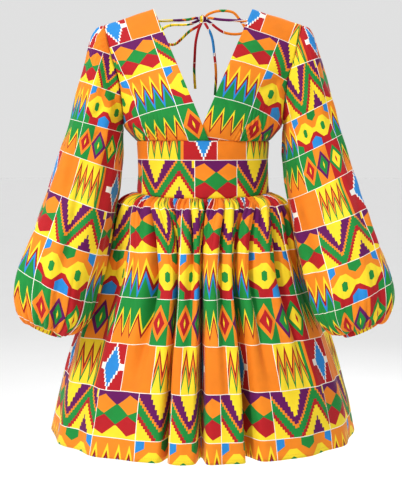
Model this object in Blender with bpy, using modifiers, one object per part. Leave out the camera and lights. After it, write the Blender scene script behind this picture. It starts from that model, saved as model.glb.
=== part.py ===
"""A swing dress in its worn form, with no wearer: surplice V front, deep V back held by a tie,
long balloon sleeves on elastic cuffs, a fitted waist band and a full gathered skirt.

Metres, +Z up. The front faces -Y and +X is the viewer's right. The origin lies midway between the
middles of the two shoulder seams, where the dress is held up. Tables are in millimetres and
degrees, and their heights are measured down from the neck point, the upper end of a shoulder seam.
"""

import math
from collections import namedtuple

import bmesh
import bpy
from mathutils import Vector

MM = 0.001
WALL = 1.5 * MM  # one layer of printed cotton with its seam allowances
NECK_POINT_HEIGHT = 16  # mm, height of the neck point above the origin

SEAM_GAP = 0.4  # mm, each side of an upright seam keeps this much to the seam line
BAND_TOP_GAP = 0.75  # mm, the same at the waist band's upper edge, where the bodice leans over it
BAND_FOOT_GAP = 0.3

# The crossed front. Each neckline edge is straight from the neck point to the waist band.
NECK_HALF_WIDTH = 97.5
BODICE_LENGTH = 260
OVER_CROSSING = 11.5  # mm past the centre at the band, the wearer's right panel, which lies on top
UNDER_CROSSING = 13.5
LAP_DEPTH = 2.4  # mm, the under panel lies this far behind the upper one where they cross
LAP_RAMP = (36, 15)  # mm from the centre, where the under panel starts to dip, and is fully behind
LAP_RISE = (170, 215)  # mm down, over which the dip begins

# Bust gathers above the band, as parts of the way from the neckline edge to the side seam.
BUST_GATHERS = 6
GATHERED_PART = (0.47, 0.92)

BodiceRow = namedtuple("BodiceRow", "neck_down outer_down outer_x outer_y centre_y roundness gather")
FRONT_ROWS = [
    BodiceRow(0, 32, 198, 0, 0, 1.0, 0),
    BodiceRow(3, 34.5, 195.5, -10, -12.6, 1.0, 0),
    BodiceRow(24, 48, 190, -22, -36, 1.0, 0),
    BodiceRow(55, 72, 184, -32, -58, 1.0, 0),
    BodiceRow(90, 100, 177, -40, -79.5, 1.0, 0),
    BodiceRow(125, 130, 168, -45, -97, 1.0, 0),
    BodiceRow(158, 160, 162, -43, -107.5, 0.95, 0),
    BodiceRow(188, 190, 159, -33, -112, 0.8, 0.3),
    BodiceRow(212, 213, 157.5, -19, -113, 0.65, 0.7),
    BodiceRow(230, 227.5, 157.5, 0, -110, 0.5, 1.1),
    BodiceRow(246, 244, 146, 0, -104, 0.5, 1.5),
    BodiceRow(BODICE_LENGTH, BODICE_LENGTH, 131.5, 0, -95, 0.5, 1.6),
]
UNDERARM_ROW = 9

BackRow = namedtuple("BackRow", "neck_down neck_x outer_y centre_y roundness")
BACK_ROWS = [
    BackRow(0, 97.5, 0, 0, 1.0),
    BackRow(3, 98, 10, 15, 1.0),
    BackRow(22, 97.5, 22, 46, 1.0),
    BackRow(50, 94, 32, 70, 1.0),
    BackRow(82, 85, 39, 86, 1.0),
    BackRow(115, 72, 43, 94, 1.0),
    BackRow(148, 57, 41, 98, 0.95),
    BackRow(180, 42, 32, 97, 0.8),
    BackRow(205, 30, 19, 95, 0.65),
    BackRow(225, 20, 0, 92, 0.5),
    BackRow(243, 10.5, 0, 89, 0.5),
    BackRow(BODICE_LENGTH, 2.5, 0, 85, 0.5),
]

BandRow = namedtuple("BandRow", "side_down centre_down half_width front_depth back_depth")
BAND_ROWS = [
    BandRow(BODICE_LENGTH, BODICE_LENGTH, 131.5, 95, 85),
    BandRow(312, 315, 129.5, 91, 82),
    BandRow(360.5, 371, 131.5, 95, 85),
]
BAND_COLUMNS = 24

# The skirt is two rectangles gathered onto the band. Each row is a ring, from waist seam to hem.
SKIRT_CUT_WIDTH = 1250  # mm, front and back alike
FRONT_GATHERS = 28
BACK_GATHERS = 24
COLUMNS_A_GATHER = 3
SkirtRow = namedtuple(
    "SkirtRow",
    "side_down centre_down half_width front_depth back_depth gather settled fold upper",
)
# gather: height of the waist gathers. settled: 0 where the cloth is spread evenly, as at the waist,
# and 1 where it has fallen into the hem's flutes. fold and upper: share of the two kinds of fold.
SKIRT_ROWS = [
    SkirtRow(361, 371.5, 131.5, 95, 85, 1.5, 0.0, 0.0, 0.0),
    SkirtRow(366, 376, 139, 101, 91, 2.4, 0.1, 0.02, 0.1),
    SkirtRow(377, 385, 159, 117, 109, 3.4, 0.25, 0.1, 0.5),
    SkirtRow(398, 403, 173, 131, 126, 3.2, 0.5, 0.28, 0.9),
    SkirtRow(452, 455, 191, 151, 150, 2.0, 0.8, 0.5, 1.0),
    SkirtRow(537, 540, 220, 179, 181, 0.8, 1.0, 0.68, 0.7),
    SkirtRow(652, 655, 259.5, 213, 217, 0.0, 1.0, 0.85, 0.25),
    SkirtRow(747, 750, 286, 238, 241, 0.0, 1.0, 0.95, 0.0),
    SkirtRow(835, 842, 305.5, 258, 260, 0.0, 1.0, 1.0, 0.0),
]
# Deep folds at the hem: the stretch of cloth that each one takes in, and where its two lips stand,
# as angles from the middle of the panel, towards the viewer's right when positive.
DeepFold = namedtuple("DeepFold", "cloth_from cloth_to angle_from angle_to depth")
FRONT_DEEP_FOLDS = [
    DeepFold(366, 522, -13.8, -11.4, 46),
    DeepFold(582, 700, -2.7, 0.9, 42),
    DeepFold(784, 908, 13.8, 18.8, 42),
]
BACK_DEEP_FOLDS = [
    DeepFold(190, 300, -61.0, -57.5, 34),
    DeepFold(470, 590, -20.0, -16.6, 42),
    DeepFold(690, 810, 8.5, 12.2, 40),
    DeepFold(950, 1060, 46.0, 49.5, 34),
]
FLUTE_SWELL = 0.045  # height of a flute between two deep folds, as a share of its width
SOFT_WAVE = 5  # mm, height of the shallow waves along a wide flute
SOFT_WAVE_CLOTH = 112  # mm of cloth to one of them
# Shorter folds that start in the gathers and fade before the hem.
UpperFold = namedtuple("UpperFold", "cloth depth spread")
FRONT_UPPER_FOLDS = [
    UpperFold(90, 6, 26),
    UpperFold(205, 8, 24),
    UpperFold(315, 15, 22),
    UpperFold(444, 8, 28),
    UpperFold(641, 8, 24),
    UpperFold(742, 9, 18),
    UpperFold(846, 8, 26),
    UpperFold(965, 10, 22),
    UpperFold(1048, 8, 20),
    UpperFold(1150, 7, 26),
]
BACK_UPPER_FOLDS = [
    UpperFold(110, 7, 26),
    UpperFold(245, 8, 24),
    UpperFold(365, 10, 24),
    UpperFold(530, 9, 26),
    UpperFold(642, 8, 20),
    UpperFold(750, 9, 24),
    UpperFold(880, 11, 24),
    UpperFold(1005, 8, 24),
    UpperFold(1130, 7, 26),
]

# The sleeve, as rings between an outer and an inner point, from just off the armhole to the cuff.
# lean: degrees that a ring's front is raised, because the lower sleeve hangs forward.
SleeveRing = namedtuple(
    "SleeveRing", "outer_x outer_down inner_x inner_down centre_y half_depth lean head fold cuff_gather"
)
SLEEVE_RINGS = [
    SleeveRing(210, 39, 160.8, 230, 0, 50, 0, 1.4, 0.0, 0),
    SleeveRing(221, 57, 160.5, 234, 0, 55, 0, 1.0, 0.5, 0),
    SleeveRing(240, 124, 159, 250, -3, 60, 0, 0.3, 1.2, 0),
    SleeveRing(254, 170, 159, 275, -6, 61, 3, 0, 1.6, 0),
    SleeveRing(268, 228, 160.5, 301, -13, 62, 8, 0, 1.8, 0),
    SleeveRing(288, 298, 164, 342, -27, 66, 14, 0, 2.0, 0),
    SleeveRing(307.5, 372, 172, 400, -66, 68, 19, 0, 2.2, 0),
    SleeveRing(324.5, 430, 181, 462, -102, 73, 22, 0, 2.5, 0),
    SleeveRing(339.5, 477, 190.5, 510, -128, 75, 20, 0, 2.8, 0),
    SleeveRing(350, 520, 199, 543, -143, 76, 15, 0, 3.0, 0.4),
    SleeveRing(352, 551, 205, 566, -149, 74, 10, 0, 2.6, 0.9),
    SleeveRing(348, 574, 213.5, 587, -152, 68, 6, 0, 2.0, 1.5),
    SleeveRing(340, 587, 227, 606, -153, 58, 3, 0, 1.2, 2.1),
    SleeveRing(332.5, 590, 244, 619, -153, 44, 0, 0, 0.6, 2.3),
    SleeveRing(322.9, 588.8, 260.5, 615.5, -153, 26, 0, 0, 0, 1.8),
]
SLEEVE_FOLDS = 7
SEAM_CLEARANCE = (0.9, 2.0)  # mm that the sleeve stands off the armhole, at the tip and underarm

# The elastic cuff, a short gathered casing under the balloon.
CUFF_HEIGHT = 12.5
CUFF_OUTER = (328.4, 601.5)  # mm from the centre and down, the two ends of its lower edge
CUFF_INNER = (266, 628.2)
CUFF_HALF_DEPTH = 26
CUFF_GATHER = 1.2

# The tie: two 5.5 mm rouleau cords, sewn to the back neckline and tied in a bow. x, y and height.
TIE_DIAMETER = 5.5
TIE_POINT_SPACING = 12.5
KNOT_CENTRE = (0, 97, 9)
KNOT_RADIUS = 9
CORD_GAP = 0.6
KNOT_LEAD = 7
# Each route is given by the direction in which it leaves the knot, and then its own points.
STRAP_ROUTES = {
    "left": ((0.97, -0.2, 0.05), [(32, 88, 6.5), (60, 71, 2.5), (86, 47, -1.5), (95.4, 36.2, -2.5)]),
    "right": ((-0.97, -0.2, 0.05), [(-32, 88, 6), (-60, 71, 2), (-86, 47, -1.5), (-95.4, 36.2, -2.5)]),
}
LOOP_ROUTES = {
    "left": (
        (0.7, 0.35, 0.62),
        [(28, 104, 25), (47, 105, 26), (64, 105, 22), (77, 105, 7), (87, 104, -8),
         (84, 103, -19), (66, 103, -22), (46, 104, -19), (31, 104, -11)],
        (0.8, 0.5, -0.33),
    ),
    "right": (
        (-0.85, 0.42, -0.3),
        [(-26, 103, -1), (-44, 104, -2.5), (-64, 104, -3), (-81, 103, -9), (-91, 102, -23),
         (-85, 102, -37), (-70, 103, -43), (-57, 104, -42), (-44, 104, -31), (-28, 104, -16)],
        (-0.45, 0.45, -0.77),
    ),
}
TAIL_ROUTES = {
    "left": (
        (0.35, -0.5, -0.79),
        [(14, 88.5, -18), (20, 90, -36), (23.5, 92, -64), (26.5, 92, -92), (27, 93, -118), (25, 93, -148)],
    ),
    "right": (
        (-0.3, -0.5, -0.81),
        [(-10, 88.5, -17), (-15, 90.5, -40), (-17, 92, -70), (-18, 92, -100), (-16, 93, -135)],
    ),
}

CLOTH_COLOURS = {
    "bodice": (0.85, 0.33, 0.04),
    "band": (0.86, 0.42, 0.05),
    "skirt": (0.88, 0.46, 0.05),
    "sleeve": (0.80, 0.36, 0.05),
    "cuff": (0.70, 0.30, 0.05),
    "tie": (0.86, 0.40, 0.06),
}
CLOTH_ROUGHNESS = 0.8


def blend(a, b, share):
    return a + (b - a) * share


def eased(value, start, end):
    """0 up to start and 1 from end on, with a smooth rise between. start may be above end."""
    share = min(max((value - start) / (end - start), 0.0), 1.0)
    return share * share * (3 - 2 * share)


def placed(x, y, down):
    """A point of the tables, as metres in the dress's frame."""
    return Vector((x, y, NECK_POINT_HEIGHT - down)) * MM


def clear_scene():
    for existing in list(bpy.data.objects):
        bpy.data.objects.remove(existing, do_unlink=True)


def new_collection(name):
    collection = bpy.data.collections.new(name)
    bpy.context.scene.collection.children.link(collection)
    return collection


def cloth_material(node_name, kind):
    material = bpy.data.materials.new(node_name + "_cloth")
    material.use_nodes = True
    shader = material.node_tree.nodes["Principled BSDF"]
    shader.inputs["Base Color"].default_value = (*CLOTH_COLOURS[kind], 1)
    shader.inputs["Roughness"].default_value = CLOTH_ROUGHNESS
    shader.inputs["Metallic"].default_value = 0
    return material


def add_object(name, data, kind, collection):
    piece = bpy.data.objects.new(name, data)
    data.materials.append(cloth_material(name, kind))
    collection.objects.link(piece)
    return piece


def add_panel(name, kind, rows, collection, tube=False):
    """One cut piece: a grid laid through rows of points, top row first, with the cloth's thickness.

    A tube's rows close on themselves, so its last column is merged with its first."""
    if tube:
        rows = [row + row[:1] for row in rows]
    across, along = len(rows[0]) - 1, len(rows) - 1
    mesh = bpy.data.meshes.new(name)
    form = bmesh.new()
    # The grid spans -1 to 1, so a vertex's own place says which column and row it belongs to.
    bmesh.ops.create_grid(form, x_segments=across, y_segments=along, size=1)
    for vertex in form.verts:
        column = round((vertex.co.x + 1) / 2 * across)
        row = round((1 - vertex.co.y) / 2 * along)
        vertex.co = rows[row][column]
    if tube:
        bmesh.ops.remove_doubles(form, verts=form.verts, dist=0.00001)
    form.to_mesh(mesh)
    form.free()
    mesh.shade_smooth()
    panel = add_object(name, mesh, kind, collection)
    thickness = panel.modifiers.new("Cloth thickness", "SOLIDIFY")
    thickness.thickness = WALL
    thickness.offset = 0
    return panel


def faced_outward(rows):
    """The rows as they are or each reversed, so that the panel's outer face looks away from the dress.

    A grid with its first row on top and its first column on the left looks at the viewer."""
    first, last = rows[len(rows) // 2][0], rows[len(rows) // 2][-1]
    middle = rows[len(rows) // 2][len(rows[0]) // 2]
    turn = (last - first).cross(Vector((0, 0, 1))).dot(middle - (first + last) / 2)
    return rows if turn >= 0 else [row[::-1] for row in rows]


def bodice_shares():
    """Parts of the way from the neckline edge to the outer edge, close together in the gathers."""
    start, end = GATHERED_PART
    plain = [start * part for part in (0, 0.22, 0.44, 0.64, 0.82)]
    gathered = [blend(start, end, i / (2 * BUST_GATHERS)) for i in range(2 * BUST_GATHERS + 1)]
    return plain + gathered + [0.957, 0.986, 1]


def bodice_point(neck_x, row, outer, share):
    """A point of a bodice row. outer is the front row, whose outer edge both panels share."""
    x = blend(neck_x, outer.outer_x, share)
    across = min(abs(x) / outer.outer_x, 1)
    y = blend(row.outer_y, row.centre_y, (1 - across * across) ** row.roundness)
    return x, y, blend(row.neck_down, outer.outer_down, share)


def front_rows(side):
    """The rows of one front panel. side is -1 for the upper panel, on the viewer's left."""
    crossing = OVER_CROSSING if side < 0 else UNDER_CROSSING
    rows = []
    for row in FRONT_ROWS:
        neck_x = blend(NECK_HALF_WIDTH, -crossing, row.neck_down / BODICE_LENGTH)
        points = []
        for index, share in enumerate(bodice_shares()):
            x, y, down = bodice_point(neck_x, row, row, share)
            if GATHERED_PART[0] < share < GATHERED_PART[1]:
                y += row.gather * (-1) ** index
            if side > 0:
                y += LAP_DEPTH * eased(x, *LAP_RAMP) * eased(down, *LAP_RISE)
            points.append(placed(side * x, -max(-y, SEAM_GAP), down))
        rows.append(points)
    return rows


def back_rows(side):
    shares = [math.sin(math.radians(angle)) for angle in (0, 12, 24, 36, 48, 60, 71, 81, 90)]
    rows = []
    for row, outer in zip(BACK_ROWS, FRONT_ROWS):
        points = []
        for share in shares:
            x, y, down = bodice_point(row.neck_x, row, outer, share)
            points.append(placed(side * x, max(y, SEAM_GAP), down))
        rows.append(points)
    return rows


def band_rows(towards):
    """The rows of the front band, with towards -1, or of the back one, with 1."""
    rows = []
    for index, row in enumerate(BAND_ROWS):
        depth = row.front_depth if towards < 0 else row.back_depth
        inset = BAND_TOP_GAP * (index == 0) - BAND_FOOT_GAP * (index == len(BAND_ROWS) - 1)
        points = []
        for column in range(BAND_COLUMNS + 1):
            angle = math.radians(blend(-90, 90, column / BAND_COLUMNS))
            y = max(depth * math.cos(angle), SEAM_GAP)
            down = blend(row.side_down, row.centre_down, math.cos(angle)) + inset
            points.append(placed(row.half_width * math.sin(angle), towards * y, down))
        rows.append(points)
    return rows


def hem_place(cloth, deep_folds):
    """Where a point of the cloth comes to lie at the hem: its angle, and how far out it stands."""
    edge, edge_angle = 0, -90.0
    for fold in deep_folds + [DeepFold(SKIRT_CUT_WIDTH, SKIRT_CUT_WIDTH, 90.0, 90.0, 0)]:
        if cloth <= fold.cloth_from:
            share = (cloth - edge) / (fold.cloth_from - edge)
            angle = blend(edge_angle, fold.angle_from, share)
            width = fold.cloth_from - edge
            forward = math.cos(math.radians(angle))
            wave = SOFT_WAVE * math.sin(math.tau * (cloth - edge) / SOFT_WAVE_CLOTH + edge)
            return angle, (FLUTE_SWELL * width * forward + wave) * math.sin(math.pi * share)
        if cloth <= fold.cloth_to:
            share = (cloth - fold.cloth_from) / (fold.cloth_to - fold.cloth_from)
            trough = fold.depth * math.sin(math.pi * share) ** 0.7
            return blend(fold.angle_from, fold.angle_to, share), -trough
        edge, edge_angle = fold.cloth_to, fold.angle_to
    return 90.0, 0.0


def skirt_rows(towards, gathers, deep_folds, upper_folds):
    columns = gathers * COLUMNS_A_GATHER
    rows = []
    for row in SKIRT_ROWS:
        depth = row.front_depth if towards < 0 else row.back_depth
        top = row is SKIRT_ROWS[0]
        points = []
        for column in range(columns + 1):
            share = column / columns
            cloth = share * SKIRT_CUT_WIDTH
            hem_angle, hem_out = hem_place(cloth, deep_folds)
            angle = math.radians(blend(blend(-90, 90, share), hem_angle, row.settled))
            out = row.fold * hem_out
            for fold in upper_folds:
                out -= row.upper * fold.depth * math.exp(-(((cloth - fold.cloth) / fold.spread) ** 2))
            # Gathers of uneven height, and none at the side seams, where the two panels meet.
            uneven = 0.8 + 0.2 * math.sin(column * 1.7 + towards)
            side_seam = math.sin(math.pi * share) ** 0.3 if 0 < share < 1 else 0
            out += row.gather * uneven * side_seam * math.cos(math.tau * column / COLUMNS_A_GATHER)
            out *= 1 if 0 < column < columns else 0
            reach = 1 + out / math.hypot(row.half_width * math.sin(angle), depth * math.cos(angle))
            x = row.half_width * math.sin(angle) * reach
            y = max(depth * math.cos(angle) * reach, SEAM_GAP)
            down = blend(row.side_down, row.centre_down, math.cos(angle)) + BAND_FOOT_GAP * top
            points.append(placed(x, towards * y, down))
        rows.append(points)
    return rows


def armhole_ring():
    """The seam line that both bodice panels leave open, from the shoulder tip round the front."""
    front = [(row.outer_x, row.outer_y, row.outer_down) for row in FRONT_ROWS[: UNDERARM_ROW + 1]]
    back = [
        (outer.outer_x, row.outer_y, outer.outer_down)
        for row, outer in zip(BACK_ROWS[1:UNDERARM_ROW], FRONT_ROWS[1:UNDERARM_ROW])
    ]
    corners = front + back[::-1]
    ring = []
    for index, corner in enumerate(corners):
        following = corners[(index + 1) % len(corners)]
        ring.append(corner)
        ring.append(tuple(blend(a, b, 0.5) for a, b in zip(corner, following)))
    return ring


def ring_points(side, outer, inner, centre_y, half_depth, lean, raised):
    """A ring between two points, from the outer one round the front. raised gives its folds."""
    outer_end, inner_end = placed(side * outer[0], centre_y, outer[1]), placed(side * inner[0], centre_y, inner[1])
    centre, arm = (outer_end + inner_end) / 2, (outer_end - inner_end) / 2
    tilt = math.radians(lean)
    front = Vector((0, -math.cos(tilt), math.sin(tilt))) * half_depth * MM
    count = 4 * UNDERARM_ROW
    points = []
    for index in range(count):
        angle = math.tau * index / count
        spoke = arm * math.cos(angle) + front * math.sin(angle)
        points.append(centre + spoke + spoke.normalized() * raised(index, angle) * MM)
    return points


def sleeve_rows(side):
    tip, underarm = SEAM_CLEARANCE
    first = []
    for index, (x, y, down) in enumerate(armhole_ring()):
        low = (1 - math.cos(math.tau * index / (4 * UNDERARM_ROW))) / 2
        first.append(placed(side * (x + blend(tip, underarm, low)), y, down))
    rows = [first]
    for number, ring in enumerate(SLEEVE_RINGS):

        def raised(index, angle, ring=ring, number=number):
            head = ring.head * (-1) ** index * max(math.cos(angle), 0)
            fold = ring.fold * math.cos(SLEEVE_FOLDS * angle + 0.25 * number + side)
            return head + fold + ring.cuff_gather * (-1) ** index

        rows.append(
            ring_points(
                side, (ring.outer_x, ring.outer_down), (ring.inner_x, ring.inner_down),
                ring.centre_y, ring.half_depth, ring.lean, raised,
            )
        )
    return rows


def cuff_rows(side):
    """The casing, from just under the sleeve's last ring to its lower edge."""
    along = Vector((CUFF_OUTER[0] - CUFF_INNER[0], CUFF_OUTER[1] - CUFF_INNER[1])).normalized()
    up = Vector((along.y, -along.x))  # in the same terms: away from the centre, and down
    rows = []
    for height in (CUFF_HEIGHT - 2 * SEAM_GAP, 0):
        outer = Vector(CUFF_OUTER) + up * height
        inner = Vector(CUFF_INNER) + up * height
        rows.append(
            ring_points(
                side, outer, inner, SLEEVE_RINGS[-1].centre_y, CUFF_HALF_DEPTH, 0,
                lambda index, angle: CUFF_GATHER * (-1) ** index,
            )
        )
    return rows


def smooth_route(points):
    """Evenly spaced points on a smooth curve through the route's own points."""
    ends = [2 * points[0] - points[1], *points, 2 * points[-1] - points[-2]]
    dense = []
    for before, start, end, after in zip(ends, ends[1:], ends[2:], ends[3:]):
        for step in range(24):
            t = step / 24
            dense.append(
                0.5 * (2 * start + (end - before) * t
                       + (2 * before - 5 * start + 4 * end - after) * t ** 2
                       + (3 * start - before - 3 * end + after) * t ** 3)
            )
    dense.append(points[-1])
    lengths = [0.0]
    for start, end in zip(dense, dense[1:]):
        lengths.append(lengths[-1] + (end - start).length)
    count = max(round(lengths[-1] / (TIE_POINT_SPACING * MM)), 4)
    route, at = [], 0
    for number in range(count + 1):
        wanted = lengths[-1] * number / count
        while at < len(lengths) - 2 and lengths[at + 1] < wanted:
            at += 1
        share = (wanted - lengths[at]) / (lengths[at + 1] - lengths[at])
        route.append(dense[at].lerp(dense[at + 1], share))
    return route


def knot_exit(direction):
    """The first two points of a cord that leaves the knot straight in this direction."""
    away = Vector(direction).normalized()
    start = Vector(KNOT_CENTRE) + away * (KNOT_RADIUS + CORD_GAP)
    return [start, start + away * KNOT_LEAD]


def add_cord(name, points, collection):
    route = smooth_route([Vector(point) * MM for point in points])
    curve = bpy.data.curves.new(name, "CURVE")
    curve.dimensions = "3D"
    curve.bevel_depth = TIE_DIAMETER / 2 * MM
    curve.bevel_resolution = 2
    curve.use_fill_caps = True
    spline = curve.splines.new("POLY")
    spline.points.add(len(route) - 1)
    for target, point in zip(spline.points, route):
        target.co = (*point, 1)
    return add_object(name, curve, "tie", collection)


def add_knot(collection):
    mesh = bpy.data.meshes.new("tie_knot")
    form = bmesh.new()
    bmesh.ops.create_uvsphere(form, u_segments=14, v_segments=9, radius=KNOT_RADIUS * MM)
    form.to_mesh(mesh)
    form.free()
    mesh.shade_smooth()
    knot = add_object("tie_knot", mesh, "tie", collection)
    knot.location = Vector(KNOT_CENTRE) * MM
    return knot


def add_bodice(collection):
    for side, name in ((-1, "right"), (1, "left")):
        add_panel("bodice_front_" + name, "bodice", faced_outward(front_rows(side)), collection)
        add_panel("bodice_back_" + name, "bodice", faced_outward(back_rows(side)), collection)


def add_band(collection):
    add_panel("band_front", "band", faced_outward(band_rows(-1)), collection)
    add_panel("band_back", "band", faced_outward(band_rows(1)), collection)


def add_skirt(collection):
    front = skirt_rows(-1, FRONT_GATHERS, FRONT_DEEP_FOLDS, FRONT_UPPER_FOLDS)
    back = skirt_rows(1, BACK_GATHERS, BACK_DEEP_FOLDS, BACK_UPPER_FOLDS)
    add_panel("skirt_front", "skirt", faced_outward(front), collection)
    add_panel("skirt_back", "skirt", faced_outward(back), collection)


def add_sleeves(collection):
    for side, name in ((-1, "right"), (1, "left")):
        # Going round by the front turns one side's rings the other way, seen from the shoulder.
        for piece, kind, rows in (("sleeve_", "sleeve", sleeve_rows(side)), ("cuff_", "cuff", cuff_rows(side))):
            outward = rows if side > 0 else [row[::-1] for row in rows]
            add_panel(piece + name, kind, outward, collection, tube=True)


def add_tie(collection):
    for name, (direction, points) in STRAP_ROUTES.items():
        add_cord("tie_strap_" + name, [*knot_exit(direction), *points], collection)
    for name, (leaving, points, returning) in LOOP_ROUTES.items():
        add_cord("tie_loop_" + name, [*knot_exit(leaving), *points, *knot_exit(returning)[::-1]], collection)
    for name, (direction, points) in TAIL_ROUTES.items():
        add_cord("tie_tail_" + name, [*knot_exit(direction), *points], collection)
    add_knot(collection)


def main():
    clear_scene()
    dress = new_collection("swing_dress")
    add_bodice(dress)
    add_band(dress)
    add_skirt(dress)
    add_sleeves(dress)
    add_tie(dress)


main()
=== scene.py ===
"""The looks of a short swing dress in printed cotton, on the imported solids.

Each cut piece is a thin shell on its solid's own form, with the print, gathers, creases, seams and
stitches. Tables are in millimetres and degrees. Heights in them are measured down from the neck
point, the viewer's right is +X, and a place on the cloth is counted along the cut piece.
"""

import math
from collections import namedtuple

import bmesh
import bpy
import numpy as np
from mathutils import Matrix, Vector


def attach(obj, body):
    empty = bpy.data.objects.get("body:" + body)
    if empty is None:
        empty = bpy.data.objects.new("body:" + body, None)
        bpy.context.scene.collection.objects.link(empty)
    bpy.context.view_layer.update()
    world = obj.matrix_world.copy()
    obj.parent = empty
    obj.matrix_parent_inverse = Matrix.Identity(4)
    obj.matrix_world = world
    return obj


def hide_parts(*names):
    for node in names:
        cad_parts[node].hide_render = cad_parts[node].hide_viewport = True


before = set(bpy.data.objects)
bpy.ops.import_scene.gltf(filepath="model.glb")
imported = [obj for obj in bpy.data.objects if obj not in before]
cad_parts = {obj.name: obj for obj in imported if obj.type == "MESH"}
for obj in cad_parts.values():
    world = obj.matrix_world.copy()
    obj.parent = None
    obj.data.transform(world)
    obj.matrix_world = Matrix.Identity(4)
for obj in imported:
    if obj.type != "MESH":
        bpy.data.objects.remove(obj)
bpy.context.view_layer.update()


def table(columns, *rows):
    """Rows of numbers that are read by their columns' names."""
    row_type = namedtuple("Row", columns)
    return [row_type(*row) for row in rows]


MM = 0.001
NECK_POINT_HEIGHT = 16
CLOTH_THICKNESS = 0.9  # one layer with its turned edge
SIDES = {-1: "right", 1: "left"}  # the wearer's
FACES = {-1: "front", 1: "back"}

# The camera's place and lens are those of the photograph.
CAMERA_PLACE = (-0.004, -2.105, -0.2616)
CAMERA_TILT = 4.95  # degrees below the horizon
CAMERA_LENS = 78.4
CAMERA_SENSOR = 36  # for the picture's long side

NECK_HALF_WIDTH = 97.5
BODICE_LENGTH = 260
OVER_CROSSING = 11.5  # mm past the centre at the band, the wearer's right panel, which lies on top
UNDER_CROSSING = 13.5
LAP_DEPTH = 2.4  # how far the under panel lies behind the upper one
LAP_RAMP = (36, 15)  # where that sets in, from the side to the centre
LAP_RISE = (170, 215)  # and from above

FRONT_ROWS = table(
    "neck_down outer_down outer_x outer_y centre_y roundness gather",
    (0, 32, 198, 0, 0, 1.0, 0),
    (3, 34.5, 195.5, -10, -12.6, 1.0, 0),
    (24, 48, 190, -22, -36, 1.0, 0),
    (55, 72, 184, -32, -58, 1.0, 0),
    (90, 100, 177, -40, -79.5, 1.0, 0),
    (125, 130, 168, -45, -97, 1.0, 0),
    (158, 160, 162, -43, -107.5, 0.95, 0),
    (188, 190, 159, -33, -112, 0.8, 0.3),
    (212, 213, 157.5, -19, -113, 0.65, 0.7),
    (230, 227.5, 157.5, 0, -110, 0.5, 1.1),
    (246, 244, 146, 0, -104, 0.5, 1.5),
    (BODICE_LENGTH, BODICE_LENGTH, 131.5, 0, -95, 0.5, 1.6),
)
UNDERARM_ROW = 9  # the row at which the armhole ends below

BACK_ROWS = table(
    "neck_down neck_x outer_y centre_y roundness",
    (0, 97.5, 0, 0, 1.0),
    (3, 98, 10, 15, 1.0),
    (22, 97.5, 22, 46, 1.0),
    (50, 94, 32, 70, 1.0),
    (82, 85, 39, 86, 1.0),
    (115, 72, 43, 94, 1.0),
    (148, 57, 41, 98, 0.95),
    (180, 42, 32, 97, 0.8),
    (205, 30, 19, 95, 0.65),
    (225, 20, 0, 92, 0.5),
    (243, 10.5, 0, 89, 0.5),
    (BODICE_LENGTH, 2.5, 0, 85, 0.5),
)

BAND_ROWS = table(
    "side_down centre_down half_width front_depth back_depth",
    (BODICE_LENGTH, BODICE_LENGTH, 131.5, 95, 85),
    (312, 315, 129.5, 91, 82),
    (360.5, 371, 131.5, 95, 85),
)

SKIRT_CUT_WIDTH = 1250
SKIRT_ROWS = table(
    "side_down centre_down half_width front_depth back_depth gather settled fold upper",
    (361, 371.5, 131.5, 95, 85, 1.5, 0.0, 0.0, 0.0),
    (366, 376, 139, 101, 91, 2.4, 0.1, 0.02, 0.1),
    (377, 385, 159, 117, 109, 3.4, 0.25, 0.1, 0.5),
    (398, 403, 173, 131, 126, 3.6, 0.5, 0.28, 0.9),
    (452, 455, 191, 151, 150, 2.4, 0.8, 0.5, 1.0),
    (537, 540, 220, 179, 181, 0.8, 1.0, 0.68, 0.8),
    (652, 655, 259.5, 213, 217, 0.0, 1.0, 0.85, 0.35),
    (747, 750, 286, 238, 241, 0.0, 1.0, 0.95, 0.0),
    (835, 842, 305.5, 258, 260, 0.0, 1.0, 1.0, 0.0),
)
DEEP_FOLD = "cloth_from cloth_to angle_from angle_to depth"
FRONT_DEEP_FOLDS = table(
    DEEP_FOLD,
    (366, 522, -15.0, -12.6, 48),
    (582, 700, -2.7, 0.9, 46),
    (784, 908, 15.0, 20.0, 48),
)
BACK_DEEP_FOLDS = table(
    DEEP_FOLD,
    (190, 300, -61.0, -57.5, 34),
    (470, 590, -20.0, -16.6, 42),
    (690, 810, 8.5, 12.2, 40),
    (950, 1060, 46.0, 49.5, 34),
)
FLUTE_SWELL = 0.045  # how far a flute stands out, as a share of its cloth
SOFT_WAVE = 5
SOFT_WAVE_CLOTH = 112
UPPER_FOLD = "cloth depth spread"
FRONT_UPPER_FOLDS = table(
    UPPER_FOLD,
    (90, 9, 26),
    (205, 13, 22),
    (312, 42, 12),
    (444, 44, 12),
    (562, 16, 12),
    (641, 44, 12),
    (748, 19, 13),
    (846, 44, 12),
    (940, 30, 12),
    (1022, 26, 14),
    (1090, 10, 18),
    (1160, 11, 24),
)
BACK_UPPER_FOLDS = table(
    UPPER_FOLD,
    (110, 10, 26),
    (245, 24, 15),
    (365, 18, 16),
    (530, 28, 15),
    (642, 14, 14),
    (750, 28, 15),
    (880, 22, 14),
    (1005, 26, 15),
    (1130, 11, 24),
)

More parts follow.
